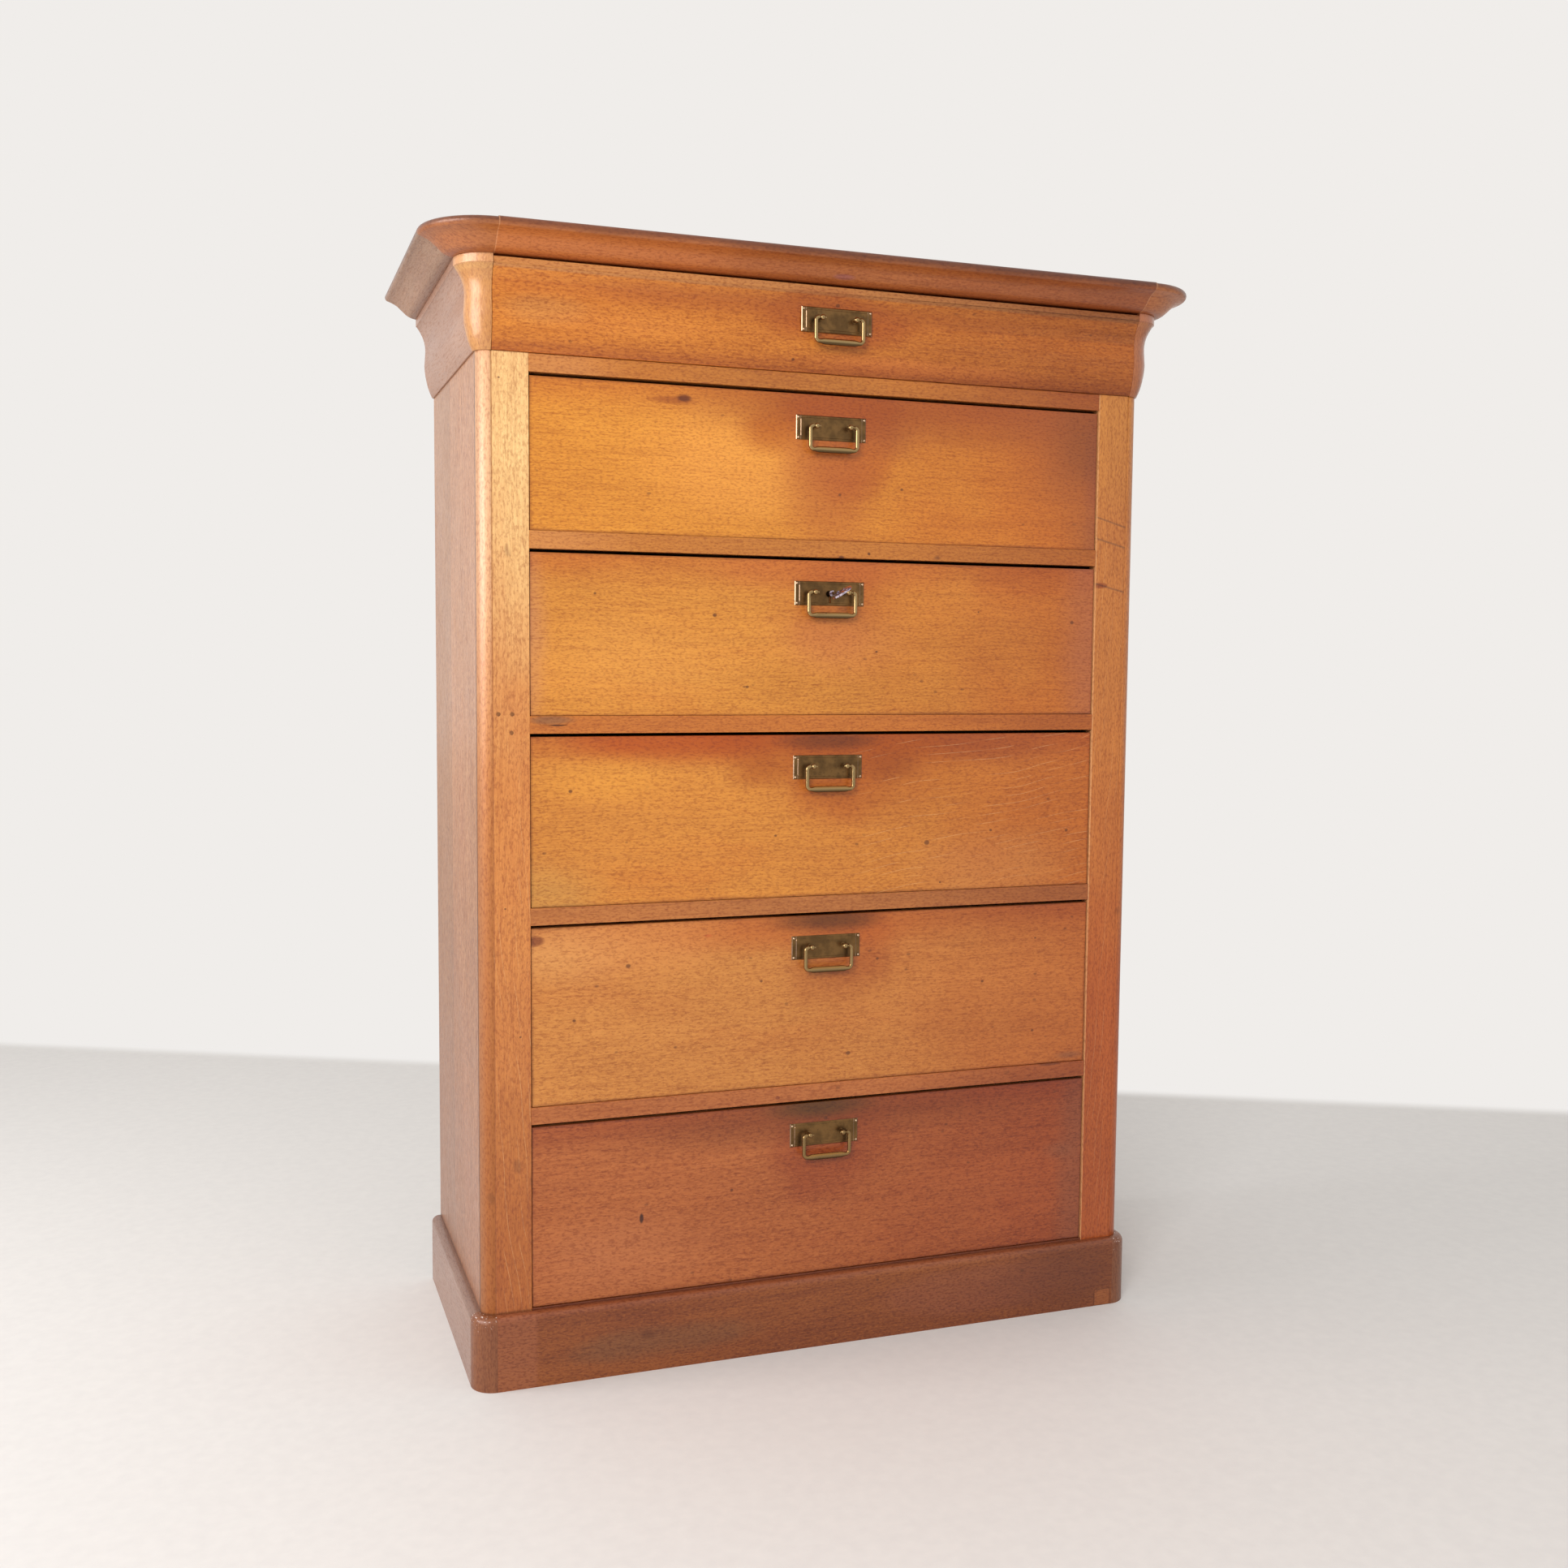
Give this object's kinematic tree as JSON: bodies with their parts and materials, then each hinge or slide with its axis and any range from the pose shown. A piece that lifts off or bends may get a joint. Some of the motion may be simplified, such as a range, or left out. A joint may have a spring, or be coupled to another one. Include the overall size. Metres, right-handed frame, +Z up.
{
  "type": "chiffonier",
  "caption": "Tall oak chest with a moulded frieze drawer over flat drawers, rounded corners, overhanging cornice, planted plinth and brass drop handles.",
  "frame": {"origin": "on the floor, in the middle of the whole chest's outline", "axes": "+X to the viewer's right when facing the drawers, +Y from the drawers to the back, +Z up"},
  "size_m": [1.1, 0.48, 1.5],
  "materials": {
    "oak_drawer_fronts": "wax-polished golden oak, grain lengthways",
    "oak_carcase": "wax-polished golden oak, grain upright on the stiles",
    "oak_rails": "waxed oak, greyer than the fronts",
    "oak_sides": "satin oak, grain upright",
    "oak_mouldings": "wax-polished darker oak",
    "oak_plinth": "worn dark oak",
    "inner_wood": "bare, aged pale oak and pine",
    "handle_brass": "aged, olive-brown, rubbed bright on the grips",
    "lock_steel": "dull aged steel",
    "key_chrome": "bright plated, a little worn"
  },
  "bodies": {
    "carcase": {"stile_left": "oak_carcase", "stile_right": "oak_carcase", "side_left": "oak_sides", "side_right": "oak_sides", "bottom_board": "oak_carcase", "rail_1": "oak_rails", "rail_2": "oak_rails", "rail_3": "oak_rails", "rail_4": "oak_rails", "rail_5": "oak_rails", "back_boards": "inner_wood", "base_frame": "inner_wood", "top_frame": "inner_wood", "top_board": "oak_mouldings", "drawer_runners": "inner_wood", "drawer_guides": "inner_wood", "drawer_stops": "inner_wood", "cornice_front": "oak_mouldings", "cornice_sides": "oak_mouldings", "cornice_corners": "oak_mouldings", "frieze_sides": "oak_mouldings", "frieze_corners": "oak_mouldings", "plinth_front": "oak_plinth", "plinth_patch": "oak_plinth", "plinth_sides": "oak_plinth", "plinth_corners": "oak_plinth"},
    "drawer_1": {"drawer_1_front": "oak_drawer_fronts", "drawer_1_box": "inner_wood", "drawer_1_bottom": "inner_wood", "drawer_1_handle_plate": "handle_brass"},
    "bail_1": {"drawer_1_bail": "handle_brass"},
    "drawer_2": {"drawer_2_front": "oak_drawer_fronts", "drawer_2_box": "inner_wood", "drawer_2_bottom": "inner_wood", "drawer_2_handle_plate": "handle_brass"},
    "bail_2": {"drawer_2_bail": "handle_brass"},
    "drawer_3": {"drawer_3_front": "oak_drawer_fronts", "drawer_3_box": "inner_wood", "drawer_3_bottom": "inner_wood", "drawer_3_handle_plate": "handle_brass", "lock_case": "lock_steel"},
    "bail_3": {"drawer_3_bail": "handle_brass"},
    "drawer_4": {"drawer_4_front": "oak_drawer_fronts", "drawer_4_box": "inner_wood", "drawer_4_bottom": "inner_wood", "drawer_4_handle_plate": "handle_brass"},
    "bail_4": {"drawer_4_bail": "handle_brass"},
    "drawer_5": {"drawer_5_front": "oak_drawer_fronts", "drawer_5_box": "inner_wood", "drawer_5_bottom": "inner_wood", "drawer_5_handle_plate": "handle_brass"},
    "bail_5": {"drawer_5_bail": "handle_brass"},
    "drawer_6": {"drawer_6_front": "oak_drawer_fronts", "drawer_6_box": "inner_wood", "drawer_6_bottom": "inner_wood", "drawer_6_handle_plate": "handle_brass"},
    "bail_6": {"drawer_6_bail": "handle_brass"},
    "key": {"key": "key_chrome"},
    "lock_bolt": {"lock_bolt": "lock_steel"}
  },
  "joints": [
    {"name": "drawer_1_slide", "type": "slide", "parent": "carcase", "child": "drawer_1", "axis": [0, -1, 0], "range_m": [0, 0.3]},
    {"name": "bail_1_swing", "type": "hinge", "parent": "drawer_1", "child": "bail_1", "pos_m": [0, -0.1964, 1.421], "axis": [-1, 0, 0], "range_deg": [-15, 165]},
    {"name": "drawer_2_slide", "type": "slide", "parent": "carcase", "child": "drawer_2", "axis": [0, -1, 0], "range_m": [0, 0.3]},
    {"name": "bail_2_swing", "type": "hinge", "parent": "drawer_2", "child": "bail_2", "pos_m": [0, -0.1792, 1.2807], "axis": [-1, 0, 0], "range_deg": [-15, 195]},
    {"name": "drawer_3_slide", "type": "slide", "parent": "carcase", "child": "drawer_3", "axis": [0, -1, 0], "range_m": [0, 0.3]},
    {"name": "bail_3_swing", "type": "hinge", "parent": "drawer_3", "child": "bail_3", "pos_m": [0, -0.1792, 1.0577], "axis": [-1, 0, 0], "range_deg": [-15, 45]},
    {"name": "drawer_4_slide", "type": "slide", "parent": "carcase", "child": "drawer_4", "axis": [0, -1, 0], "range_m": [0, 0.3]},
    {"name": "bail_4_swing", "type": "hinge", "parent": "drawer_4", "child": "bail_4", "pos_m": [0, -0.1792, 0.8197], "axis": [-1, 0, 0], "range_deg": [-15, 195]},
    {"name": "drawer_5_slide", "type": "slide", "parent": "carcase", "child": "drawer_5", "axis": [0, -1, 0], "range_m": [0, 0.3]},
    {"name": "bail_5_swing", "type": "hinge", "parent": "drawer_5", "child": "bail_5", "pos_m": [0, -0.1792, 0.5687], "axis": [-1, 0, 0], "range_deg": [-15, 195]},
    {"name": "drawer_6_slide", "type": "slide", "parent": "carcase", "child": "drawer_6", "axis": [0, -1, 0], "range_m": [0, 0.3]},
    {"name": "bail_6_swing", "type": "hinge", "parent": "drawer_6", "child": "bail_6", "pos_m": [0, -0.1792, 0.3037], "axis": [-1, 0, 0], "range_deg": [-15, 195]},
    {"name": "key_turn", "type": "hinge", "parent": "drawer_3", "child": "key", "pos_m": [0, -0.2, 1.0562], "axis": [0, 1, 0], "range_deg": [0, 90]},
    {"name": "bolt_throw", "type": "slide", "parent": "drawer_3", "child": "lock_bolt", "axis": [0, 0, 1], "range_m": [0, 0.008]}
  ],
  "couplings": [
    {"joint": "key_turn", "follows": "bolt_throw", "rad_per_m": 196.3}
  ]
}
